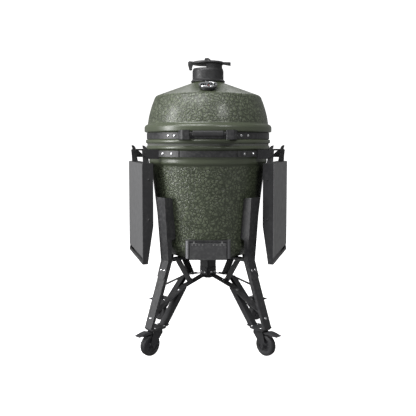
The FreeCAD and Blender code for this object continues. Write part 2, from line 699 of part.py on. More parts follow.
def wheel():
    """Tyre and hub, as two solids."""
    half = WHEEL_HALF_WIDTH
    tyre = revolve([
        (33.0, -half), (WHEEL_R - 3.0, -half), (WHEEL_R, -half + 5.0), (WHEEL_R, half - 5.0),
        (WHEEL_R - 3.0, half), (33.0, half),
    ])
    hub = revolve([
        (AXLE_R + RUNNING_GAP, -half - 1.5), (12.0, -half - 1.5), (13.0, -half + 3.0), (33.0, -half + 3.0),
        (33.0, half - 3.0), (13.0, half - 3.0), (12.0, half + 1.5), (AXLE_R + RUNNING_GAP, half + 1.5),
    ])
    solids = []
    for shape in (tyre, hub):
        shape.rotate(Vector(0, 0, 0), Vector(1, 0, 0), 90)
        shape.translate(Vector(WHEEL_R_AXIS, 0, WHEEL_R))
        solids.append(shape)
    return solids


def pedal():
    """Brake pedal: a sleeve on its pin, a lever over the tyre, and a shoe."""
    half = FORK_INSIDE - 2.0
    r, z = PEDAL_PIVOT
    sleeve = rod((r, -half, z), (r, half, z), 4.0)
    lever = side_prism([
        (r, 90.0), (r + 28.0, 92.5), (r + 44.0, 92.0), (PEDAL_TIP_R, 92.5), (PEDAL_TIP_R, 95.0),
        (PEDAL_TIP_R - 34.0, 102.5), (r + 32.0, 103.0), (r + 10.5, 96.3), (r, 96.3),
    ], -half, half)
    shoe = block((r + 40.0, r + 50.0), (-10.0, 10.0), (85.5, 93.0))
    bore = rod((r, -half - 1.0, z), (r, half + 1.0, z), PEDAL_PIN_R + RUNNING_GAP)
    return fused([sleeve, lever, shoe]).cut(bore)


# ---------------------------------------------------------------------- shelves
# The right shelf is built with +X pointing away from the bowl across the
# shelf's face and +Y along the hinge line. It is then turned to its toe angle,
# and the left shelf is its mirror image.
def shelf_section(back, face_x, top, end):
    """Outline of the tray across its depth: deep at the hinge, thin at the grip."""
    return [(back, top), (face_x, top), (face_x, end), (face_x - 20.0, end), (back, 526.0)]


def shelf_frame():
    """Folded tray behind the panel, open towards the bowl, with a grip slot."""
    tray = side_prism(shelf_section(SHELF_BACK_X, SHELF_FACE_X - 2.0, SHELF_TOP_Z, SHELF_END_Z),
                      SHELF_NEAR_Y, SHELF_FAR_Y)
    inside = side_prism([
        (SHELF_BACK_X - 30.0, SHELF_TOP_Z - SHEET), (SHELF_FACE_X - 2.0 - SHEET, SHELF_TOP_Z - SHEET),
        (SHELF_FACE_X - 2.0 - SHEET, SHELF_END_Z + SHEET), (SHELF_BACK_X - 30.0, SHELF_END_Z + SHEET),
    ], SHELF_NEAR_Y + SHEET, SHELF_FAR_Y - SHEET)
    slot = block((SHELF_BACK_X, SHELF_FACE_X + 1.0), (SHELF_NEAR_Y + 24.0, SHELF_FAR_Y - 24.0),
                 (PANEL_END_Z - 14.0, PANEL_END_Z - 1.0))
    rail = block((SHELF_FACE_X - 2.0, SHELF_FACE_X), (SHELF_NEAR_Y, SHELF_FAR_Y),
                 (SHELF_END_Z, PANEL_END_Z - 14.0))
    window = block((SHELF_FACE_X - 10.0, SHELF_FACE_X + 1.0), (SHELF_NEAR_Y + 40.0, SHELF_FAR_Y - 40.0),
                   (PANEL_END_Z + 30.0, SHELF_TOP_Z - 60.0))
    return fused([tray.cut(inside).cut(window), rail]).cut(slot)


def shelf_panel():
    """Top board of the shelf, with rounded hinge-side corners."""
    panel = block((SHELF_FACE_X - 2.0, SHELF_FACE_X), (SHELF_NEAR_Y, SHELF_FAR_Y),
                  (PANEL_END_Z, SHELF_TOP_Z))
    return filleted(panel, 8.0, lambda edge: is_along(edge, Vector(1, 0, 0)) and edge.BoundBox.ZMin > 700.0)


def claw(y_low):
    """Hinge claw: it holds the shelf box below the pivot and hooks above it."""
    outline = [
        (-18.0, -110.0), (8.8, -110.0), (8.8, -46.0), (10.0, -20.0), (12.0, 2.0), (13.0, 9.0), (8.0, 9.0),
        (7.0, 14.0), (10.0, 22.0), (10.5, 30.0), (2.0, 28.0), (-5.0, 22.0), (-8.0, 14.0), (-8.0, 6.0),
        (-12.0, -4.0), (-13.0, -20.0), (-18.0, -46.0),
    ]
    plate = side_prism([(SHELF_PIVOT_X + x, SHELF_PIVOT_Z + z) for x, z in outline], y_low, y_low + CLAW_T)
    bore = rod((SHELF_PIVOT_X, y_low - 1, SHELF_PIVOT_Z), (SHELF_PIVOT_X, y_low + CLAW_T + 1, SHELF_PIVOT_Z),
               SHELF_PIN_R + RUNNING_GAP)
    return plate.cut(bore)




def shelf_screws():
    screws = []
    for z in (717.0, 552.0):
        screws.append(bolt((SHELF_FACE_X - 27.0, SHELF_NEAR_Y, z), (0.0, -1.0, 0.0), SHEET, 4.5))
        screws.append(bolt((SHELF_FACE_X - 27.0, SHELF_FAR_Y, z), (0.0, 1.0, 0.0), SHEET, 4.5))
    return screws


def claw_slots():
    """Openings in the shelf's top fold where the claws pass through."""
    return [
        block((SHELF_PIVOT_X - 19.0, SHELF_PIVOT_X + 9.2), (y - 0.3, y + CLAW_T + 0.3),
              (SHELF_TOP_Z - 10.0, SHELF_TOP_Z + 5.0))
        for y in (NEAR_CLAW_Y + 0.7, FAR_CLAW_Y)
    ]


def bracket_arm(y_low, y_high, inboard, windows):
    """Arm plate between the bowl band and the pivot, with its two pins' side."""
    outline = [(12.0, 6.0), (7.0, 12.0), (-inboard, 12.0), (-inboard, -26.0), (-14.0, -26.0), (10.0, -9.0)]
    plate = side_prism([(SHELF_PIVOT_X + x, SHELF_PIVOT_Z + z) for x, z in outline], y_low, y_high)
    for x_low, x_high in windows:
        plate = plate.cut(side_prism([
            (SHELF_PIVOT_X + x_low, SHELF_PIVOT_Z + 4.0), (SHELF_PIVOT_X + x_high, SHELF_PIVOT_Z + 4.0),
            (SHELF_PIVOT_X + x_low, SHELF_PIVOT_Z - 18.0),
        ], y_low - 1.0, y_high + 1.0))
    return plate


def shelf_bracket(arm_y, claw_y, foot_from, foot_to, inboard, windows):
    """Foot on the bowl band, arm plate, pivot pin and stop pin."""
    foot = sector(BOWL_BAND_R, BOWL_BAND_R + 4.0, *BOWL_BAND_Z, foot_from, foot_to)
    plate = turned(bracket_arm(arm_y, arm_y + 4.0, inboard, windows), -SHELF_TOE)
    plate = plate.cut(Part.makeCylinder(BOWL_BAND_R + 0.2, 100.0, Vector(0, 0, 780.0)))
    ends = sorted((arm_y, claw_y))
    pin_from = ends[0] - 3.0
    pin_to = ends[1] + CLAW_T + 3.0
    pivot = rod((SHELF_PIVOT_X, pin_from, SHELF_PIVOT_Z), (SHELF_PIVOT_X, pin_to, SHELF_PIVOT_Z),
                SHELF_PIN_R)
    stop_x, stop_z = SHELF_PIVOT_X - 20.0, SHELF_PIVOT_Z - 12.4
    stop = rod((stop_x, ends[0], stop_z), (stop_x, ends[1] + CLAW_T, stop_z), 4.0)
    return fused([foot, plate, turned(pivot, -SHELF_TOE), turned(stop, -SHELF_TOE)])


def shelf_brackets():
    near = shelf_bracket(NEAR_CLAW_Y - 4.0, NEAR_CLAW_Y + 0.7, -64.0, -30.0, 66.0, [])
    far = shelf_bracket(FAR_CLAW_Y + CLAW_T + 0.7, FAR_CLAW_Y, 14.0, 36.0, 112.0,
                        [(-46.0, -22.0), (-84.0, -52.0)])
    return [near, far]


def bowl_band_bolts():
    """Dome nuts on the feet of the shelf brackets and of the hinge."""
    bolts = []
    for degrees in (-57.0, -46.7, 18.0, 32.0, -123.0, -133.3, 162.0, 148.0, 76.0, 104.0):
        direction = (math.cos(math.radians(degrees)), math.sin(math.radians(degrees)), 0.0)
        reach = BOWL_BAND_R + 4.0
        bolts.append(bolt((direction[0] * reach, direction[1] * reach, 824.5), direction, 6.0))
    return bolts


# ----------------------------------------------------------------- ash drawer
def drawer_surround():
    """Steel surround of the drawer, with rounded cheeks against the bowl."""
    half = DRAWER_HALF_WIDTH + 16.0
    low, high = DRAWER_Z[0] + 3.0, DRAWER_Z[1] + 8.0
    front_y = DRAWER_FRONT_Y + 3.0
    shell = block((-half, half), (front_y, -120.0), (low, high))
    shell = filleted(shell, 14.0,
                     lambda edge: is_along(edge, Vector(0, 0, 1)) and edge.BoundBox.YMax < -200.0)
    under_bowl = [(0.0, BOWL_BASE_Z - 20.0), (150.0, BOWL_BASE_Z - 20.0), (150.0, BOWL_BASE_Z)]
    flange = shell.cut(revolve(under_bowl + bowl_outside()[1:8] + [(0.0, 812.0)]))
    neck = drawer_passage(3.5).common(block((-100, 100), (front_y + 7.0, -150.0), (380.0, 480.0)))
    return fused([flange, neck]).cut(drawer_passage(0.8))


def drawer_housing_and_cheeks():
    """The surround's middle and its two cheeks, which are separate pressings."""
    whole = drawer_surround()
    side = DRAWER_HALF_WIDTH + 3.6
    cheek_space = block((side, 120.0), (-300.0, -100.0), (350.0, 500.0))
    cheeks = [whole.common(cheek_space), whole.common(mirrored(cheek_space))]
    return whole.cut(cheek_space).cut(mirrored(cheek_space)), cheeks


def finger_tabs(slack, y, heights):
    """The slider's two finger tabs between two y values, wider by slack on each side."""
    half = 3.0 + slack
    return [block((x - half, x + half), y, heights) for x in (-FINGER_TAB_X, FINGER_TAB_X)]


def drawer_front():
    """Folded front plate with two groups of draft holes and notches for the finger tabs."""
    half = DRAWER_HALF_WIDTH - 1.0
    back = DRAWER_FRONT_Y + 2.5
    plate = block((-half, half), (DRAWER_FRONT_Y, back), DRAWER_Z)
    lip = block((-half, half), (DRAWER_FRONT_Y - 8.0, back), (DRAWER_Z[0], DRAWER_Z[0] + 3.0))
    notches = finger_tabs(8.0, (DRAWER_FRONT_Y - 1.0, back + 1.0), (DRAWER_Z[1] - 4.1, DRAWER_Z[1] + 1.0))
    holes = draft_holes(0.0, DRAWER_FRONT_Y - 1.0)
    return fused([plate, lip]).cut(Part.makeCompound(holes + notches))


def draft_holes(shift, y):
    """Two groups of four round holes along X."""
    columns = [side * (22.0 + i * DRAFT_HOLE_PITCH) for side in (-1, 1) for i in range(4)]
    return [rod((x + shift, y, DRAFT_HOLE_Z), (x + shift, y + 5.0, DRAFT_HOLE_Z), DRAFT_HOLE_R)
            for x in columns]


def ash_drawer():
    """Open tray behind the drawer front."""
    half = DRAWER_HALF_WIDTH - 3.0
    tray = block((-half, half), (DRAWER_FRONT_Y + 2.5, TRAY_BACK_Y), TRAY_Z)
    inside = block((-half + 1.5, half - 1.5), (DRAWER_FRONT_Y + 4.0, TRAY_BACK_Y - 1.5),
                   (TRAY_Z[0] + 1.5, TRAY_Z[1] + 1.0))
    return tray.cut(inside)


def draft_slider():
    """Perforated strip behind the drawer front, with two finger tabs bent up before it."""
    y = DRAWER_FRONT_Y + 2.5 + BODY_GAP
    top = DRAWER_Z[1] - 1.4
    strip = block((-68.0, 68.0), (y, y + 1.5), (DRAFT_HOLE_Z - 7.0, top))
    bridges = finger_tabs(0.0, (DRAWER_FRONT_Y - 1.8, y + 1.5), (DRAWER_Z[1] - 3.8, top))
    uprights = finger_tabs(0.0, (DRAWER_FRONT_Y - 1.8, DRAWER_FRONT_Y - BODY_GAP),
                           (DRAWER_Z[1] - 3.8, DRAWER_Z[1] + 6.5))
    holes = Part.makeCompound(draft_holes(-DRAFT_HOLE_PITCH / 2, y - 1.0))
    return fused([strip.cut(holes)] + bridges + uprights)


# ------------------------------------------------------------------- assembly
def write_grill():
    hinge_side_bolts = bowl_band_bolts()
    bolt_tool = Part.makeCompound(hinge_side_bolts)
    write("bowl", bowl())
    write("bowl_band", band(BOWL_BAND_R, BOWL_BAND_Z).cut(bolt_tool))
    write("bowl_gasket", ring(246.0, 266.0, BOWL_RIM_Z, 861.0))
    write("fire_box", fire_box())
    write("fire_ring", fire_ring())
    write("charcoal_grate", slotted_disc(150.0, 498.0, 506.0, 12.0, 7.0, 19.0))
    write("cooking_grid", slotted_disc(222.0, 772.0, 778.0, 6.0, 5.0, 20.0))
    housing, cheeks = drawer_housing_and_cheeks()
    write("drawer_housing", housing)
    write("drawer_cheeks", cheeks)
    write("drawer_front", drawer_front())
    write("ash_drawer", ash_drawer())
    write("draft_slider", draft_slider())
    write("hinge_bracket", hinge_bracket().cut(bolt_tool))
    write("hinge_pin", hinge_pin())
    write("hinge_springs", hinge_springs())
    return hinge_side_bolts


def write_lid():
    nuts = lid_band_nuts()
    bracket = handle_bracket()
    write("lid", lid())
    write("lid_band", band(LID_BAND_R, LID_BAND_Z).cut(Part.makeCompound(nuts)))
    write("lid_gasket", ring(246.0, 266.0, 861.0 + BODY_GAP, PARTING_Z))
    write("lid_nuts", nuts)
    write("hinge_arm", hinge_arm())
    write("handle_bar", handle_bar())
    write("handle_brackets", [bracket, mirrored(bracket)])
    write("thermometer_case", thermometer_case())
    write("thermometer_dial", thermometer_dial())
    write("thermometer_needle", thermometer_needle())
    write("thermometer_lens", thermometer_lens())
    write("vent_base", vent_base())
    write("vent_hood", vent_hood())
    write("vent_damper", vent_damper())


def write_stand(band_bolts):
    bolts = Part.makeCompound(corner_bolts())
    corner_parts = {
        "cradle_arms": cradle_arm().cut(bolts),
        "base_arms": base_arm().cut(bolts),
        "struts": strut().cut(bolts),
        "castor_plates": castor_plate().cut(bolts),
    }
    one_leg = leg().cut(bolts)
    post = centre_post()
    for corner, degrees in DIAGONALS.items():
        write(f"leg_{corner}", turned(one_leg, degrees))
        post = post.cut(turned(bolts, degrees))
    for name, shape in corner_parts.items():
        write(name, [turned(shape, degrees) for degrees in DIAGONALS.values()])
    write("cradle_ring", cradle_ring())
    write("centre_post", post)
    write("stand_bolts", [turned(bolts, degrees) for degrees in DIAGONALS.values()] + band_bolts)


def write_castors():
    for corner, degrees in DIAGONALS.items():
        write(f"fork_{corner}", turned(fork(), degrees))
        write(f"wheel_{corner}", [turned(solid, degrees) for solid in wheel()])
        write(f"pedal_{corner}", turned(pedal(), degrees))


def write_shelves(band_bolts):
    screws = shelf_screws()
    claws = [claw(NEAR_CLAW_Y + 0.7), claw(FAR_CLAW_Y)]
    frame = shelf_frame().cut(Part.makeCompound(claw_slots() + screws))
    brackets = [bracket.cut(Part.makeCompound(band_bolts)) for bracket in shelf_brackets()]
    right = {
        "frame": [turned(frame, -SHELF_TOE)],
        "panel": [turned(shelf_panel(), -SHELF_TOE)],
        "claws": [turned(part, -SHELF_TOE) for part in claws + screws],
        "brackets": brackets,
    }
    for name, shapes in right.items():
        write(f"shelf_{name}_right", shapes)
        write(f"shelf_{name}_left", [mirrored(shape) for shape in shapes])


os.makedirs("parts", exist_ok=True)
band_bolts = write_grill()
write_lid()
write_stand(band_bolts)
write_castors()
write_shelves(band_bolts)
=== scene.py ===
import json
import math

import bmesh
import bpy
from mathutils import Euler, Matrix, Vector, noise


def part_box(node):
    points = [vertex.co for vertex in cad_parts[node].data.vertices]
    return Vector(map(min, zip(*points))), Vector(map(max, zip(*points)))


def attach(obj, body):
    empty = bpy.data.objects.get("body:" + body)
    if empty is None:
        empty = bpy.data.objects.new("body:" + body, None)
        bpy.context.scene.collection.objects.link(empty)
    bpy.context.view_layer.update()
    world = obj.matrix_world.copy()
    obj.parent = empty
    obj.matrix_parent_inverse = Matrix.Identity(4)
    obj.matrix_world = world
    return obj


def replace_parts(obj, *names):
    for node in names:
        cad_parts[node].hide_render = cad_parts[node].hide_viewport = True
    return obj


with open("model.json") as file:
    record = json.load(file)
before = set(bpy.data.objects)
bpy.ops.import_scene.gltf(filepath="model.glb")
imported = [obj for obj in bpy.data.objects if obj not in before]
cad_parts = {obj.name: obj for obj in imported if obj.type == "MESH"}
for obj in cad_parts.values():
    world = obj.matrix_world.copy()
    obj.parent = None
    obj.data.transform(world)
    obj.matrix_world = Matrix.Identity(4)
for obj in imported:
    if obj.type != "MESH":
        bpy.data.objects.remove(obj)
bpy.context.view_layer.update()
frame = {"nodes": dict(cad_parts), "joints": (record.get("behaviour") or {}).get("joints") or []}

CORNERS = {"front_right": -45.0, "rear_right": 45.0, "rear_left": 135.0, "front_left": -135.0}
SIDES = ("right", "left")


# --------------------------------------------------------------- measurements
def outer_radius(node):
    """Largest distance of a round node from the grill's axis."""
    low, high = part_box(node)
    return max(high.x, -low.x)


def heights(node):
    """Lowest and highest z of a node."""
    low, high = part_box(node)
    return low.z, high.z


RIM_R = outer_radius("bowl")
BOWL_LOW, BOWL_RIM_Z = heights("bowl")
COLLAR_R = outer_radius("lid")
LID_LOW, LID_TOP = heights("lid")
BOWL_BAND_R = outer_radius("bowl_band")
LID_BAND_R = outer_radius("lid_band")
RIM_FLAT = 0.025        # width of the flat on top of the bowl's rim
RIM_BEVEL = 0.004       # how far that flat ends inside the rim's largest radius
UNDER_BAND = 0.0037     # how far the ceramic lies inside a band's outer radius
FLOOR_THICK = 0.020     # thickness of the bowl's floor
BOWL_FLOOR_Z = BOWL_LOW + FLOOR_THICK
GLAZE_STEP = 0.008      # longest stretch between two points of a glazed outside
JOINTS = {joint["name"]: joint for joint in frame["joints"]}


# ------------------------------------------------------------ shader building
class Shader:
    """A Principled material and the nodes that feed it."""

    def __init__(self, name, colour, roughness, metallic=0.0):
        self.material = bpy.data.materials.new(name)
        self.material.use_nodes = True
        self.nodes = self.material.node_tree.nodes
        self.links = self.material.node_tree.links
        self.bsdf = self.nodes["Principled BSDF"]
        self.bsdf.inputs["Base Color"].default_value = (*colour, 1.0)
        self.bsdf.inputs["Roughness"].default_value = roughness
        self.bsdf.inputs["Metallic"].default_value = metallic
        self.height = None
        self.place = self.nodes.new("ShaderNodeTexCoord").outputs["Object"]

    def noise(self, scale, detail=3.0, stretch=(1.0, 1.0, 1.0)):
        """Noise value over the object's own coordinates; scale is in cells per metre."""
        mapping = self.nodes.new("ShaderNodeMapping")
        mapping.inputs["Scale"].default_value = stretch
        self.links.new(self.place, mapping.inputs["Vector"])
        texture = self.nodes.new("ShaderNodeTexNoise")
        texture.inputs["Scale"].default_value = scale
        texture.inputs["Detail"].default_value = detail
        self.links.new(mapping.outputs["Vector"], texture.inputs["Vector"])
        return texture.outputs["Fac"]

    def warped_place(self, scale, amount):
        """The object's own coordinates, pushed about by noise by up to amount metres."""
        texture = self.nodes.new("ShaderNodeTexNoise")
        texture.inputs["Scale"].default_value = scale
        self.links.new(self.place, texture.inputs["Vector"])
        push = self.nodes.new("ShaderNodeVectorMath")
        push.operation = "MULTIPLY_ADD"
        self.links.new(texture.outputs["Color"], push.inputs[0])
        push.inputs[1].default_value = (amount, amount, amount)
        self.links.new(self.place, push.inputs[2])
        return push.outputs["Vector"]

    def pebbles(self, size):
        """Rounded pebbles of about that size, 0 in the furrows to 1 on top."""
        texture = self.nodes.new("ShaderNodeTexVoronoi")
        texture.feature = "DISTANCE_TO_EDGE"
        texture.inputs["Scale"].default_value = 1.0 / size
        self.links.new(self.warped_place(0.7 / size, 1.5 * size), texture.inputs["Vector"])
        return self.spread(texture.outputs["Distance"], 0.02, 0.26, 0.0, 1.0)

    def blended(self, factor, first, second):
        """Plain number first where factor is 0, socket second where it is 1."""
        node = self.nodes.new("ShaderNodeMix")
        self.links.new(factor, node.inputs[0])
        node.inputs[2].default_value = first
        self.links.new(second, node.inputs[3])
        return node.outputs[0]

    def attribute(self, name):
        node = self.nodes.new("ShaderNodeAttribute")
        node.attribute_name = name
        return node.outputs["Fac"]

    def spread(self, value, low, high, to_low, to_high):
        """Maps value from low..high to to_low..to_high, clamped."""
        node = self.nodes.new("ShaderNodeMapRange")
        self.links.new(value, node.inputs["Value"])
        limits = {"From Min": low, "From Max": high, "To Min": to_low, "To Max": to_high}
        for socket, number in limits.items():
            node.inputs[socket].default_value = number
        return node.outputs["Result"]

    def mixed(self, factor, first, second):
        """Colour between first and second; either may be a colour or a socket."""
        node = self.nodes.new("ShaderNodeMix")
        node.data_type = "RGBA"
        self.links.new(factor, node.inputs["Factor"])
        for index, colour in ((6, first), (7, second)):
            if isinstance(colour, tuple):
                node.inputs[index].default_value = (*colour, 1.0)
            else:
                self.links.new(colour, node.inputs[index])
        return node.outputs[2]

    def colour(self, socket):
        self.links.new(socket, self.bsdf.inputs["Base Color"])

    def roughness(self, socket):
        self.links.new(socket, self.bsdf.inputs["Roughness"])

    def bump(self, socket, distance, strength):
        """Adds a layer of relief of that depth, in metres."""
        node = self.nodes.new("ShaderNodeBump")
        node.inputs["Distance"].default_value = distance
        node.inputs["Strength"].default_value = strength
        self.links.new(socket, node.inputs["Height"])
        if self.height is not None:
            self.links.new(self.height, node.inputs["Normal"])
        self.height = node.outputs["Normal"]
        self.links.new(self.height, self.bsdf.inputs["Normal"])

    def worn_edges(self, base, worn, amount):
        """Base colour with a lighter tone on sharp outer edges, broken up by noise."""
        geometry = self.nodes.new("ShaderNodeNewGeometry")
        edge = self.spread(geometry.outputs["Pointiness"], 0.53, 0.60, 0.0, amount)
        patches = self.spread(self.noise(90.0, 4.0), 0.45, 0.65, 0.2, 1.0)
        product = self.nodes.new("ShaderNodeMath")
        product.operation = "MULTIPLY"
        self.links.new(edge, product.inputs[0])
        self.links.new(patches, product.inputs[1])
        return self.mixed(product.outputs["Value"], base, worn)


# ------------------------------------------------------------------ materials
def glaze():
    """Olive glaze: light on the pebbled tops, darker where it pools between them."""
    shader = Shader("olive_glaze", (0.07, 0.08, 0.06), 0.3)
    relief = shader.blended(shader.attribute("pebbled"), 0.5, shader.pebbles(0.014))
    tone = shader.mixed(relief, (0.029, 0.036, 0.021), (0.112, 0.130, 0.084))
    drift = shader.spread(shader.noise(9.0, 3.0), 0.35, 0.7, 0.0, 0.3)
    tone = shader.mixed(drift, tone, (0.052, 0.063, 0.039))
    specks = shader.spread(shader.noise(900.0, 2.0), 0.68, 0.76, 0.0, 0.4)
    shader.colour(shader.mixed(specks, tone, (0.13, 0.14, 0.11)))
    shader.roughness(shader.spread(shader.noise(60.0, 4.0), 0.3, 0.7, 0.30, 0.44))
    shader.bump(relief, 0.0016, 0.8)
    shader.bump(shader.noise(420.0, 3.0), 0.0003, 0.5)
    shader.bsdf.inputs["Coat Weight"].default_value = 0.3
    shader.bsdf.inputs["Coat Roughness"].default_value = 0.2
    return shader.material


def raw_ceramic():
    """Unglazed refractory with grains and soot."""
    shader = Shader("raw_ceramic", (0.5, 0.45, 0.38), 0.85)
    grain = shader.spread(shader.noise(350.0, 4.0), 0.35, 0.7, 0.0, 1.0)
    tone = shader.mixed(grain, (0.40, 0.36, 0.30), (0.58, 0.53, 0.45))
    soot = shader.spread(shader.noise(7.0, 4.0), 0.45, 0.7, 0.0, 0.7)
    shader.colour(shader.mixed(soot, tone, (0.11, 0.10, 0.09)))
    shader.roughness(shader.spread(shader.noise(120.0), 0.3, 0.7, 0.75, 0.95))
    shader.bump(shader.noise(500.0, 4.0), 0.0006, 0.6)
    return shader.material


def powder_coat(name, colour, worn):
    """Powder-coated steel: orange-peel skin, faint dust and rubbed edges."""
    roughness = (0.34, 0.5)
    shader = Shader(name, colour, roughness[0])
    dust = shader.spread(shader.noise(14.0, 5.0), 0.45, 0.75, 0.0, 0.18)
    dusty = shader.mixed(dust, colour, tuple(min(1.0, c * 1.5 + 0.01) for c in colour))
    shader.colour(shader.worn_edges(dusty, worn, 0.35))
    shader.roughness(shader.spread(shader.noise(45.0, 5.0), 0.3, 0.7, *roughness))
    shader.bump(shader.noise(700.0, 2.0), 0.00025, 0.5)
    shader.bump(shader.noise(2600.0, 1.0), 0.00006, 0.4)
    return shader.material


def cast_metal(name, colour, grain=0.0004):
    """Sand-cast metal with a fine pitted skin."""
    shader = Shader(name, colour, 0.45, 0.3)
    tone = shader.mixed(shader.spread(shader.noise(30.0, 5.0), 0.35, 0.7, 0.0, 1.0), colour,
                        tuple(c * 1.8 + 0.004 for c in colour))
    shader.colour(shader.worn_edges(tone, (0.09, 0.09, 0.09), 0.5))
    shader.roughness(shader.spread(shader.noise(150.0, 4.0), 0.3, 0.7, 0.36, 0.6))
    shader.bump(shader.noise(900.0, 3.0), grain, 0.6)
    return shader.material


def brushed(name, colour, stretch, roughness=(0.22, 0.38)):
    """Brushed steel with grain lines along one direction."""
    shader = Shader(name, colour, roughness[0], 1.0)
    lines = shader.noise(220.0, 4.0, stretch)
    shader.colour(shader.mixed(shader.spread(shader.noise(12.0, 4.0), 0.4, 0.7, 0.0, 0.5), colour,
                               tuple(c * 0.75 for c in colour)))
    shader.roughness(shader.spread(lines, 0.3, 0.7, *roughness))
    shader.bump(lines, 0.00004, 0.5)
    return shader.material


def chrome():
    """Polished metal with faint smears."""
    shader = Shader("polished_chrome", (0.42, 0.42, 0.43), 0.2, 1.0)
    shader.roughness(shader.spread(shader.noise(70.0, 4.0), 0.4, 0.7, 0.16, 0.28))
    shader.bump(shader.noise(300.0, 2.0), 0.00002, 0.3)
    return shader.material


def felt():
    """Heat-proof felt with matted fibres."""
    shader = Shader("gasket_felt", (0.4, 0.4, 0.36), 0.95)
    fibres = shader.noise(900.0, 4.0, (1.0, 1.0, 2.5))
    share = shader.spread(fibres, 0.3, 0.7, 0.0, 1.0)
    shader.colour(shader.mixed(share, (0.09, 0.095, 0.085), (0.17, 0.175, 0.16)))
    shader.bump(fibres, 0.0008, 0.8)
    shader.bsdf.inputs["Sheen Weight"].default_value = 0.3
    return shader.material


def moulded(name, colour, roughness=(0.42, 0.6), texture=1100.0):
    """Moulded plastic or rubber with a fine tool texture."""
    shader = Shader(name, colour, roughness[0])
    scuffs = shader.spread(shader.noise(60.0, 5.0), 0.55, 0.75, 0.0, 0.4)
    shader.colour(shader.mixed(scuffs, colour, tuple(c * 1.7 + 0.01 for c in colour)))
    shader.roughness(shader.spread(shader.noise(80.0, 4.0), 0.3, 0.7, *roughness))
    shader.bump(shader.noise(texture, 2.0), 0.00015, 0.5)
    return shader.material


def printed(name, colour):
    """Paint or ink on the thermometer, a little uneven."""
    shader = Shader(name, colour, 0.4)
    shader.colour(shader.mixed(shader.spread(shader.noise(150.0, 3.0), 0.4, 0.7, 0.0, 0.3), colour,
                               tuple(c * 0.8 for c in colour)))
    shader.bump(shader.noise(900.0, 2.0), 0.00003, 0.4)
    return shader.material


def clear_glass():
    """Clear glass with weak reflections."""
    shader = Shader("lens_glass", (0.95, 0.97, 0.98), 0.04)
    shader.bsdf.inputs["Transmission Weight"].default_value = 1.0
    shader.bsdf.inputs["IOR"].default_value = 1.45
    shader.bsdf.inputs["Specular IOR Level"].default_value = 0.15
    shader.bump(shader.noise(40.0, 2.0), 0.00002, 0.2)
    return shader.material


GLAZE = glaze()
RAW = raw_ceramic()
BLACK = powder_coat("black_powder_coat", (0.020, 0.020, 0.022), (0.10, 0.10, 0.10))
DRAWER_GREY = powder_coat("drawer_powder_coat", (0.046, 0.046, 0.048), (0.14, 0.14, 0.14))
CHARCOAL = powder_coat("charcoal_powder_coat", (0.100, 0.100, 0.104), (0.2, 0.2, 0.2))
IRON = cast_metal("black_cast_iron", (0.025, 0.024, 0.023), 0.0007)
CAST_BLACK = cast_metal("black_cast_aluminium", (0.018, 0.018, 0.019))
STAINLESS = brushed("brushed_stainless", (0.6, 0.6, 0.6), (0.04, 1.0, 1.0))
SATIN_STEEL = brushed("satin_steel", (0.24, 0.24, 0.25), (1.0, 1.0, 0.1), (0.5, 0.62))
ZINC = brushed("zinc_bolts", (0.74, 0.74, 0.76), (1.0, 1.0, 1.0), (0.16, 0.3))
CHROME = chrome()
FELT = felt()
GRIP = moulded("handle_grip", (0.022, 0.022, 0.023))
RUBBER = moulded("tyre_rubber", (0.026, 0.026, 0.028), (0.5, 0.7), 700.0)
HUB_PLASTIC = moulded("hub_plastic", (0.035, 0.035, 0.038), (0.35, 0.5))
DIAL = printed("dial_print", (0.09, 0.09, 0.09))
INK = printed("dial_ink", (0.45, 0.45, 0.43))
NEEDLE_RED = printed("needle_red", (0.32, 0.02, 0.015))
GLASS = clear_glass()


# -------------------------------------------------------------- mesh building
SHARP_DEG = 35.0        # edges that turn more than this are softened


def new_object(name, bm, body, materials, smooth=True):
    """Turn a bmesh into a piece that rides on a body."""
    mesh = bpy.data.meshes.new(name)
    bmesh.ops.recalc_face_normals(bm, faces=bm.faces)
    bm.to_mesh(mesh)
    bm.free()
    for material in materials:
        mesh.materials.append(material)
    if smooth:
        mesh.shade_smooth()
    piece = bpy.data.objects.new(name, mesh)
    bpy.context.collection.objects.link(piece)
    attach(piece, body)
    return piece


def turned_mesh(profile, segments):
    """bmesh of a closed profile of (radius, height) points turned about Z."""
    bm = bmesh.new()
    rings = []
    for k in range(segments):
        angle = 2 * math.pi * k / segments
        rings.append([bm.verts.new((r * math.cos(angle), r * math.sin(angle), z)) for r, z in profile])
    for k in range(segments):
        here, there = rings[k], rings[(k + 1) % segments]
        for i in range(len(profile)):
            j = (i + 1) % len(profile)
            bm.faces.new((here[i], there[i], there[j], here[j]))
    bmesh.ops.remove_doubles(bm, verts=bm.verts, dist=1e-6)
    return bm


def rounded(points, radius, steps=3):
    """Closed outline with its corners rounded."""
    out = []
    count = len(points)
    for i in range(count):
        corner = Vector(points[i])
        back = Vector(points[i - 1]) - corner
        ahead = Vector(points[(i + 1) % count]) - corner
        cut = min(radius, 0.45 * back.length, 0.45 * ahead.length)
        start = corner + back.normalized() * cut
        end = corner + ahead.normalized() * cut
        for k in range(steps + 1):
            t = k / steps
            out.append(tuple((1 - t) ** 2 * start + 2 * t * (1 - t) * corner + t ** 2 * end))
    return out


def placed(bm, matrix):
    """Moves a whole bmesh by a matrix."""
    bmesh.ops.transform(bm, matrix=matrix, verts=bm.verts)
    return bm


def add_box(bm, place, size):
    """Adds a box of that size, centred at place, to a bmesh."""
    bmesh.ops.create_cube(bm, size=1.0, matrix=place @ Matrix.Diagonal((*size, 1.0)))


def bevelled(piece, width):
    """Softens sharp edges without touching the mesh itself."""
    bevel = piece.modifiers.new("edge", "BEVEL")
    bevel.width = width
    bevel.segments = 2
    bevel.limit_method = "ANGLE"
    bevel.angle_limit = math.radians(SHARP_DEG)
    bevel.harden_normals = True
    return piece


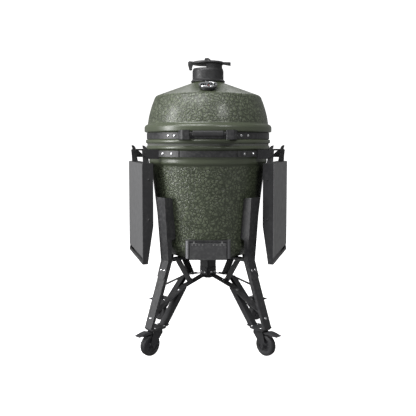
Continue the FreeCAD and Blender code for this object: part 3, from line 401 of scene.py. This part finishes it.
def tube_between(name, points, radius, body, material, closed=False):
    """Round bar along points, as a curve turned into a mesh."""
    curve = bpy.data.curves.new(name + "_path", "CURVE")
    curve.dimensions = "3D"
    curve.bevel_depth = radius
    curve.bevel_resolution = 3
    curve.use_fill_caps = True
    spline = curve.splines.new("POLY")
    spline.points.add(len(points) - 1)
    for target, point in zip(spline.points, points):
        target.co = (*point, 1.0)
    spline.use_cyclic_u = closed
    holder = bpy.data.objects.new(name + "_path", curve)
    bpy.context.collection.objects.link(holder)
    mesh = bpy.data.meshes.new_from_object(holder.evaluated_get(bpy.context.evaluated_depsgraph_get()))
    bpy.data.objects.remove(holder)
    mesh.name = name
    mesh.materials.clear()
    mesh.materials.append(material)
    mesh.shade_smooth()
    piece = bpy.data.objects.new(name, mesh)
    bpy.context.collection.objects.link(piece)
    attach(piece, body)
    return piece


# ------------------------------------------------------------- glazed ceramic
def smooth_between(value, low, high):
    """0 below low, 1 above high, and an even curve between them."""
    t = min(1.0, max(0.0, (value - low) / (high - low)))
    return t * t * (3 - 2 * t)


def glazed_shell(outside, inside, textured, segments):
    """Ceramic shell: a slightly wavy glazed outside, pebbled by textured(z), and a raw inside."""
    waviness = 0.0003
    waves_per_metre = 28.0
    bm = bmesh.new()
    pebbled = bm.verts.layers.float.new("pebbled")
    profile = outside + inside
    rings = []
    for k in range(segments):
        angle = 2 * math.pi * k / segments
        outward = Vector((math.cos(angle), math.sin(angle), 0.0))
        ring = []
        for i, (r, z) in enumerate(profile):
            spot = outward * r + Vector((0.0, 0.0, z))
            share = textured(z) if i < len(outside) else 0.0
            spot += outward * noise.noise(spot * waves_per_metre) * waviness * share
            vert = bm.verts.new(spot)
            vert[pebbled] = share
            ring.append(vert)
        rings.append(ring)
    for here, there in zip(rings, rings[1:] + rings[:1]):
        for i in range(len(profile)):
            j = (i + 1) % len(profile)
            face = bm.faces.new((here[i], there[i], there[j], here[j]))
            face.material_index = 0 if i < len(outside) - 1 else 1
    bmesh.ops.remove_doubles(bm, verts=bm.verts, dist=1e-6)
    return bm


def resampled(points, step):
    """Outline with extra points so that no stretch is longer than step."""
    out = [points[0]]
    for start, end in zip(points, points[1:]):
        pieces = max(1, math.ceil(math.dist(start, end) / step))
        for k in range(1, pieces + 1):
            t = k / pieces
            out.append((start[0] + (end[0] - start[0]) * t, start[1] + (end[1] - start[1]) * t))
    return out


def arc_points(start, through, end):
    """Points of the circle through three points, from start to end."""
    steps = 10
    ax, ay = start
    bx, by = through
    cx, cy = end
    d = 2 * (ax * (by - cy) + bx * (cy - ay) + cx * (ay - by))
    ux = ((ax**2 + ay**2) * (by - cy) + (bx**2 + by**2) * (cy - ay) + (cx**2 + cy**2) * (ay - by)) / d
    uy = ((ax**2 + ay**2) * (cx - bx) + (bx**2 + by**2) * (ax - cx) + (cx**2 + cy**2) * (bx - ax)) / d
    radius = math.dist((ux, uy), start)
    a0 = math.atan2(ay - uy, ax - ux)
    a1 = math.atan2(cy - uy, cx - ux)
    turn = (a1 - a0 + math.pi) % (2 * math.pi) - math.pi
    return [(ux + radius * math.cos(a0 + turn * k / steps), uy + radius * math.sin(a0 + turn * k / steps))
            for k in range(steps + 1)]


# Outlines are (radius, height) points in metres. An outside runs up and the inside that follows it
# runs down again, so that together they close the shell.
BOWL_OUTLINE = (
    [(0.0, BOWL_LOW)]
    + arc_points((0.150, BOWL_LOW), (0.196, BOWL_LOW + 0.017), (0.212, BOWL_LOW + 0.067))
    + [(0.250, 0.777), (0.254, 0.780), (0.258, 0.784), (0.258, 0.806), (0.262, 0.810),
       (BOWL_BAND_R - UNDER_BAND, 0.8115), (BOWL_BAND_R - UNDER_BAND, 0.840),
       (RIM_R, 0.843), (RIM_R, 0.853), (RIM_R - RIM_BEVEL, BOWL_RIM_Z)]
)
BOWL_INSIDE = (
    [(RIM_R - RIM_BEVEL - RIM_FLAT, BOWL_RIM_Z), (0.240, 0.800), (0.225, 0.777)]
    + arc_points((0.190, 0.468), (0.177, 0.423), (0.132, BOWL_FLOOR_Z))
    + [(0.0, BOWL_FLOOR_Z)]
)
LID_OUTLINE = (
    [(COLLAR_R - 0.0095, LID_LOW), (COLLAR_R - 0.0055, LID_LOW + 0.003),
     (COLLAR_R - 0.0055, LID_LOW + 0.014), (LID_BAND_R - UNDER_BAND, LID_LOW + 0.018),
     (LID_BAND_R - UNDER_BAND, 0.912), (COLLAR_R - 0.001, 0.915), (COLLAR_R, 0.919), (COLLAR_R, 0.935),
     (COLLAR_R - 0.004, 0.943)]
    + arc_points((0.2635, 0.949), (0.2575, 0.985), (0.235, 1.056))
    + arc_points((0.235, 1.056), (0.2305, 1.066), (0.220, 1.0735))[1:]
    + [(0.074, LID_TOP - 0.004), (0.069, LID_TOP)]
)
LID_INSIDE = (
    [(0.050, LID_TOP), (0.050, LID_TOP - 0.019)]
    + arc_points((0.212, 1.050), (0.230, 1.005), (0.239, 0.940))
    + [(0.246, 0.915), (0.246, LID_LOW)]
)


def cut_away(piece, cutter_name, low, high):
    """Cuts a box-shaped opening out of a piece."""
    cutter_mesh = bmesh.new()
    size = Vector(high) - Vector(low)
    middle = (Vector(high) + Vector(low)) / 2
    add_box(cutter_mesh, Matrix.Translation(middle), size)
    mesh = bpy.data.meshes.new(cutter_name)
    cutter_mesh.to_mesh(mesh)
    cutter_mesh.free()
    cutter = bpy.data.objects.new(cutter_name, mesh)
    bpy.context.collection.objects.link(cutter)
    boolean = piece.modifiers.new("opening", "BOOLEAN")
    boolean.operation = "DIFFERENCE"
    boolean.solver = "EXACT"
    boolean.object = cutter
    cut_mesh = bpy.data.meshes.new_from_object(piece.evaluated_get(bpy.context.evaluated_depsgraph_get()))
    piece.modifiers.clear()
    piece.data = cut_mesh
    bpy.data.objects.remove(cutter)


def ceramic_bowl():
    """Bowl with the drawer's opening, pebbled from its foot up to the moulding under its band."""
    foot_fade = (BOWL_LOW, BOWL_LOW + 0.02)
    moulding_fade = (0.768, 0.776)

    def textured(z):
        return smooth_between(z, *foot_fade) * (1 - smooth_between(z, *moulding_fade))

    segments = 256
    bm = glazed_shell(resampled(BOWL_OUTLINE, GLAZE_STEP), BOWL_INSIDE, textured, segments)
    piece = new_object("bowl_glazed", bm, "stand", [GLAZE, RAW])
    low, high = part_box("drawer_front")
    gap = 0.004
    opening_low = (low.x - gap, -0.32, low.z + 0.010)
    opening_high = (high.x + gap, -0.10, high.z + gap)
    cut_away(piece, "drawer_opening", opening_low, opening_high)
    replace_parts(piece, "bowl")


def ceramic_lid():
    """Lid, pebbled above its moulding and nearly smooth on the cone."""
    moulding_fade = (0.948, 0.954)
    cone_fade = (1.066, 1.078)
    cone_smoothness = 0.85

    def textured(z):
        return smooth_between(z, *moulding_fade) * (1 - cone_smoothness * smooth_between(z, *cone_fade))

    segments = 256
    bm = glazed_shell(resampled(LID_OUTLINE, GLAZE_STEP), LID_INSIDE, textured, segments)
    piece = new_object("lid_glazed", bm, "lid", [GLAZE, RAW])
    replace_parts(piece, "lid")


# ------------------------------------------------------------------ ironwork
def repaint(node, material, edge=0.0006):
    """Keeps a CAD node, with a better material and softened edges."""
    piece = frame["nodes"][node]
    piece.data.materials.clear()
    piece.data.materials.append(material)
    if edge:
        bevelled(piece, edge)


def keep_cad_nodes():
    """Materials and softened edges of the CAD nodes that are shown; castors() does the pedals."""
    black = ["bowl_band", "lid_band", "drawer_housing", "hinge_bracket", "hinge_arm",
             "cradle_arms", "base_arms", "struts", "castor_plates", "cradle_ring", "centre_post"]
    black += [f"leg_{corner}" for corner in CORNERS]
    black += [f"fork_{corner}" for corner in CORNERS]
    black += [f"shelf_{part}_{side}" for part in ("frame", "claws", "brackets") for side in SIDES]
    for node in black:
        repaint(node, BLACK)
    repaint("drawer_front", DRAWER_GREY)
    for side in SIDES:
        repaint(f"shelf_panel_{side}", CHARCOAL, 0.0008)
    for node in ("thermometer_case", "vent_base", "vent_hood", "vent_damper"):
        repaint(node, CAST_BLACK, 0.0008)
    repaint("handle_brackets", BLACK, 0.0012)
    repaint("charcoal_grate", IRON, 0.0015)
    for node in ("fire_box", "fire_ring"):
        repaint(node, RAW, 0.002)
    for node in ("bowl_gasket", "lid_gasket"):
        repaint(node, FELT, 0.001)
    for node in ("draft_slider", "ash_drawer", "hinge_pin"):
        repaint(node, STAINLESS, 0.0003)
    for node in ("stand_bolts", "lid_nuts"):
        repaint(node, ZINC, 0.0)
        frame["nodes"][node].data.shade_smooth()
    repaint("drawer_cheeks", SATIN_STEEL, 0.0003)
    repaint("thermometer_dial", DIAL, 0.0)
    repaint("thermometer_needle", NEEDLE_RED, 0.0)
    repaint("thermometer_lens", GLASS, 0.0)


def hinge_springs():
    """Two torsion springs wound round the hinge pin."""
    low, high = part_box("hinge_springs")
    axis_y, axis_z = (low.y + high.y) / 2, (low.z + high.z) / 2
    wire = 0.0019
    coil = (high.z - low.z) / 2 - wire
    turns = 8.5
    turn_steps = 20
    inner_end, length = 0.006, 0.040
    springs = []
    for side in (1, -1):
        points = []
        for k in range(int(turns * turn_steps) + 1):
            angle = 2 * math.pi * k / turn_steps
            x = side * inner_end + side * length * k / (turns * turn_steps)
            points.append((x, axis_y + coil * math.cos(angle), axis_z + coil * math.sin(angle)))
        name = "spring_right" if side > 0 else "spring_left"
        springs.append(tube_between(name, points, wire, "stand", STAINLESS))
    for spring in springs:
        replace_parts(spring, "hinge_springs")


def cooking_grid():
    """Welded wire grid: a rim, parallel bars and two cross bars under them."""
    low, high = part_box("cooking_grid")
    radius = high.x - 0.004
    z = (low.z + high.z) / 2
    wire, rim_wire, cross_wire = 0.0024, 0.0034, 0.003
    rim_points = 72
    rim_angles = [2 * math.pi * k / rim_points for k in range(rim_points)]
    rim = [(radius * math.cos(angle), radius * math.sin(angle), z) for angle in rim_angles]
    bars = [tube_between("grid_rim", rim, rim_wire, "stand", STAINLESS, closed=True)]
    pitch = 0.0175
    count = int((radius - 0.008) / pitch)
    for i in range(-count, count + 1):
        half = math.sqrt(radius**2 - (i * pitch) ** 2)
        ends = [(-half, i * pitch, z + 0.001), (half, i * pitch, z + 0.001)]
        bars.append(tube_between(f"grid_bar_{i + count}", ends, wire, "stand", STAINLESS))
    for side, x in (("left", -0.09), ("right", 0.09)):
        half = math.sqrt(radius**2 - x**2)
        ends = [(x, -half, z - 0.003), (x, half, z - 0.003)]
        bars.append(tube_between(f"grid_cross_{side}", ends, cross_wire, "stand", STAINLESS))
    for bar in bars:
        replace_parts(bar, "cooking_grid")


# ------------------------------------------------------------------- castors
def castor_frame(corner):
    """Matrix from a castor's own axes, +X outwards, to the grill's."""
    return Matrix.Rotation(math.radians(CORNERS[corner]), 4, "Z")


def wheel_axis(corner):
    """Matrix that lays a shape turned about Z onto the wheel's axle."""
    joint = JOINTS[f"wheel_{corner}_spin"]
    centre = Vector(joint["pos_m"])
    return Matrix.Translation(centre) @ castor_frame(corner) @ Matrix.Rotation(math.radians(90), 4, "X")


def tyre(corner):
    """Tyre with a slightly crowned tread, two grooves and bevelled inner edges."""
    low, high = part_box(f"wheel_{corner}")
    radius = (high.z - low.z) / 2
    half = 0.0138
    profile = [
        (0.031, -half + 0.002), (0.033, -half),
        (radius - 0.0045, -half + 0.0004), (radius - 0.0012, -half + 0.0032),
        (radius - 0.0002, -0.0062), (radius - 0.0014, -0.0054),
        (radius - 0.0014, -0.0046), (radius, -0.0038),
        (radius, 0.0038), (radius - 0.0014, 0.0046), (radius - 0.0014, 0.0054), (radius - 0.0002, 0.0062),
        (radius - 0.0012, half - 0.0032), (radius - 0.0045, half - 0.0004),
        (0.033, half), (0.031, half - 0.002),
    ]
    bm = placed(turned_mesh(profile, 96), wheel_axis(corner))
    return bevelled(new_object(f"tyre_{corner}", bm, f"wheel_{corner}", [RUBBER]), 0.0005)


def hub(corner):
    """Hub with a dished web, a raised rim and six ribs each side."""
    half = 0.0118
    rib_size = (0.0165, 0.0022, 0.0035)
    profile = rounded([
        (0.0052, -0.0150), (0.0110, -0.0150), (0.0125, -0.0085), (0.0265, -0.0070), (0.0280, -half),
        (0.0318, -half), (0.0318, half), (0.0280, half), (0.0265, 0.0070), (0.0125, 0.0085),
        (0.0110, 0.0150), (0.0052, 0.0150),
    ], 0.0012, 2)
    bm = turned_mesh(profile, 72)
    for k in range(6):
        for side in (-1, 1):
            turn = Matrix.Rotation(math.radians(60 * k), 4, "Z")
            add_box(bm, turn @ Matrix.Translation((0.0195, 0.0, side * 0.0088)), rib_size)
    placed(bm, wheel_axis(corner))
    piece = new_object(f"hub_{corner}", bm, f"wheel_{corner}", [HUB_PLASTIC])
    return bevelled(piece, 0.0004)


def axle_nuts(corner):
    """Hexagon nuts on the axle ends."""
    nut_reach = 0.0226
    for side in (-1, 1):
        bm = bmesh.new()
        bmesh.ops.create_cone(bm, cap_ends=True, segments=6, radius1=0.0080, radius2=0.0080, depth=0.0050)
        placed(bm, wheel_axis(corner) @ Matrix.Translation((0, 0, side * nut_reach)))
        name = f"axle_nut_{corner}_{'a' if side < 0 else 'b'}"
        bevelled(new_object(name, bm, f"fork_{corner}", [BLACK], smooth=False), 0.0006)


def pedal_details(corner):
    """Five ribs across the toe of the brake pedal."""
    pivot = Vector(JOINTS[f"brake_{corner}_press"]["pos_m"])
    reach = math.hypot(pivot.x, pivot.y)
    toe_start, toe_length = 0.047, 0.026
    top_z, toe_drop = 0.1028, 0.0057
    rib_size = (0.0022, 0.024, 0.0016)
    lean = Matrix.Rotation(math.radians(13), 4, "Y")
    for k in range(5):
        bm = bmesh.new()
        t = k / 4
        spot = Vector((reach + toe_start + toe_length * t, 0.0, top_z - toe_drop * t))
        add_box(bm, castor_frame(corner) @ Matrix.Translation(spot) @ lean, rib_size)
        name = f"pedal_rib_{corner}_{k}"
        rib = new_object(name, bm, f"pedal_{corner}", [HUB_PLASTIC], smooth=False)
        bevelled(rib, 0.0004)


def castors():
    for corner in CORNERS:
        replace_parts(tyre(corner), f"wheel_{corner}")
        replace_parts(hub(corner), f"wheel_{corner}")
        axle_nuts(corner)
        repaint(f"pedal_{corner}", HUB_PLASTIC, 0.001)
        pedal_details(corner)


# ---------------------------------------------------------- handle and details
def handle_grip():
    """Rounded grip between the end blocks, narrowed to a collar at each end."""
    low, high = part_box("handle_bar")
    axis_y, axis_z = (low.y + high.y) / 2, (low.z + high.z) / 2
    half_y, half_z = (high.y - low.y) / 2, (high.z - low.z) / 2
    reach = high.x
    collar = [(0.0, 0.62), (0.0108, 0.62), (0.0112, 0.86), (0.0125, 0.97), (0.018, 1.0)]
    stations = [(-reach + inset, size) for inset, size in collar] + [(0.0, 1.0)]
    stations += [(reach - inset, size) for inset, size in reversed(collar)]
    sides = 40
    squareness = 0.55
    bm = bmesh.new()
    rings = []
    for x, size in stations:
        ring_points = []
        for k in range(sides):
            angle = 2 * math.pi * k / sides
            c, s = math.cos(angle), math.sin(angle)
            y = half_y * size * math.copysign(abs(c) ** squareness, c)
            z = half_z * size * math.copysign(abs(s) ** squareness, s)
            ring_points.append(bm.verts.new((x, axis_y + y, axis_z + z)))
        rings.append(ring_points)
    for first, second in zip(rings, rings[1:]):
        for k in range(sides):
            bm.faces.new((first[k], second[k], second[(k + 1) % sides], first[(k + 1) % sides]))
    bm.faces.new(rings[0])
    bm.faces.new(list(reversed(rings[-1])))
    piece = new_object("handle_grip", bm, "lid", [GRIP])
    bevelled(piece, 0.0005)
    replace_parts(piece, "handle_bar")


def on_thermometer():
    """Matrix from the thermometer's own axes, +Z along its stem, to the grill's."""
    joint = JOINTS["needle_turn"]
    axis = -Vector(joint["axis"]).normalized()
    side = Vector((1, 0, 0))
    up = axis.cross(side)
    turn = Matrix((side, up, axis)).transposed().to_4x4()
    return Matrix.Translation(Vector(joint["pos_m"])) @ turn


def thermometer_bezel():
    """Polished ring round the dial."""
    outline = [(0.0338, 0.0), (0.0384, 0.0), (0.0386, 0.0052), (0.0366, 0.0084), (0.0340, 0.0070)]
    lift = 0.0008
    profile = rounded(outline, 0.0012)
    bm = placed(turned_mesh(profile, 96), on_thermometer() @ Matrix.Translation((0, 0, lift)))
    new_object("thermometer_bezel", bm, "lid", [CHROME])


def dial_scale():
    """Scale marks round the dial, without lettering; every third one is longer."""
    marks, first_deg, step_deg = 27, -130, 10
    outer, depth = 0.0275, -0.0008
    bm = bmesh.new()
    for k in range(marks):
        length = 0.0050 if k % 3 == 0 else 0.0028
        turn = Matrix.Rotation(math.radians(first_deg + step_deg * k), 4, "Z")
        spot = Matrix.Translation((0, outer - length / 2, depth))
        add_box(bm, turn @ spot, (0.0008, length, 0.0002))
    placed(bm, on_thermometer())
    new_object("dial_scale", bm, "lid", [INK], smooth=False)


# --------------------------------------------------------------------- studio
def studio_light(name, location, target, size, power):
    """White area light at location, aimed at target; size in metres, power in watts."""
    light = bpy.data.lights.new(name, "AREA")
    light.shape = "RECTANGLE"
    light.size, light.size_y = size
    light.energy = power
    lamp = bpy.data.objects.new(name, light)
    lamp.location = location
    aim = Vector(target) - Vector(location)
    lamp.rotation_euler = aim.to_track_quat("-Z", "Y").to_euler()
    bpy.context.collection.objects.link(lamp)


def studio():
    """Dim white surroundings and four soft lights; the one behind gives the cone its sheen."""
    world = bpy.data.worlds.new("studio")
    bpy.context.scene.world = world
    world.use_nodes = True
    background = world.node_tree.nodes["Background"]
    background.inputs["Color"].default_value = (1.0, 1.0, 1.0, 1.0)
    background.inputs["Strength"].default_value = 0.26
    bpy.context.scene.view_settings.view_transform = "Standard"
    studio_light("key_top", (-0.9, -1.3, 3.0), (0, 0, 0.9), (2.0, 1.4), 62)
    studio_light("side_left", (-2.7, -1.0, 1.3), (0, 0, 0.7), (0.9, 2.2), 80)
    studio_light("back_top", (0, 1.9, 2.9), (0, 0, 1.05), (2.4, 0.9), 14)
    studio_light("front_right", (1.5, -2.8, 2.7), (0, 0, 0.9), (1.0, 1.0), 34)


def white_paper(name):
    """White that glows at full strength by itself, so that it shows as white in any light."""
    shader = Shader(name, (0.9, 0.9, 0.9), 0.9)
    shader.bsdf.inputs["Emission Color"].default_value = (1.0, 1.0, 1.0, 1.0)
    shader.bsdf.inputs["Emission Strength"].default_value = 1.0
    return shader.material


def stage_piece(name, bm):
    """Part of the white studio that the camera sees but that lights nothing."""
    mesh = bpy.data.meshes.new(name)
    bm.to_mesh(mesh)
    bm.free()
    mesh.materials.append(white_paper(name + "_paper"))
    piece = bpy.data.objects.new(name, mesh)
    bpy.context.collection.objects.link(piece)
    piece.visible_diffuse = False
    piece.visible_glossy = False
    piece.visible_shadow = False


def floor_and_backdrop():
    """Wide white floor and a white sphere round the grill."""
    floor = bmesh.new()
    bmesh.ops.create_grid(floor, x_segments=1, y_segments=1, size=30.0)
    stage_piece("floor", floor)
    backdrop = bmesh.new()
    bmesh.ops.create_uvsphere(backdrop, u_segments=48, v_segments=24, radius=28.0)
    stage_piece("backdrop", backdrop)


def camera():
    """Camera near the height of the bowl's rim, looking slightly down."""
    distance, height, tilt_down = 2.510, 0.873, 4.0
    data = bpy.data.cameras.new("camera")
    data.lens = 49.13
    data.sensor_width = 36.0
    data.shift_y = -0.0637
    eye = bpy.data.objects.new("camera", data)
    eye.location = (0.0, -distance, height)
    eye.rotation_euler = Euler((math.radians(90 - tilt_down), 0, 0))
    bpy.context.collection.objects.link(eye)
    bpy.context.scene.camera = eye


camera()
studio()
floor_and_backdrop()
ceramic_bowl()
ceramic_lid()
keep_cad_nodes()
hinge_springs()
cooking_grid()
castors()
handle_grip()
thermometer_bezel()
dial_scale()
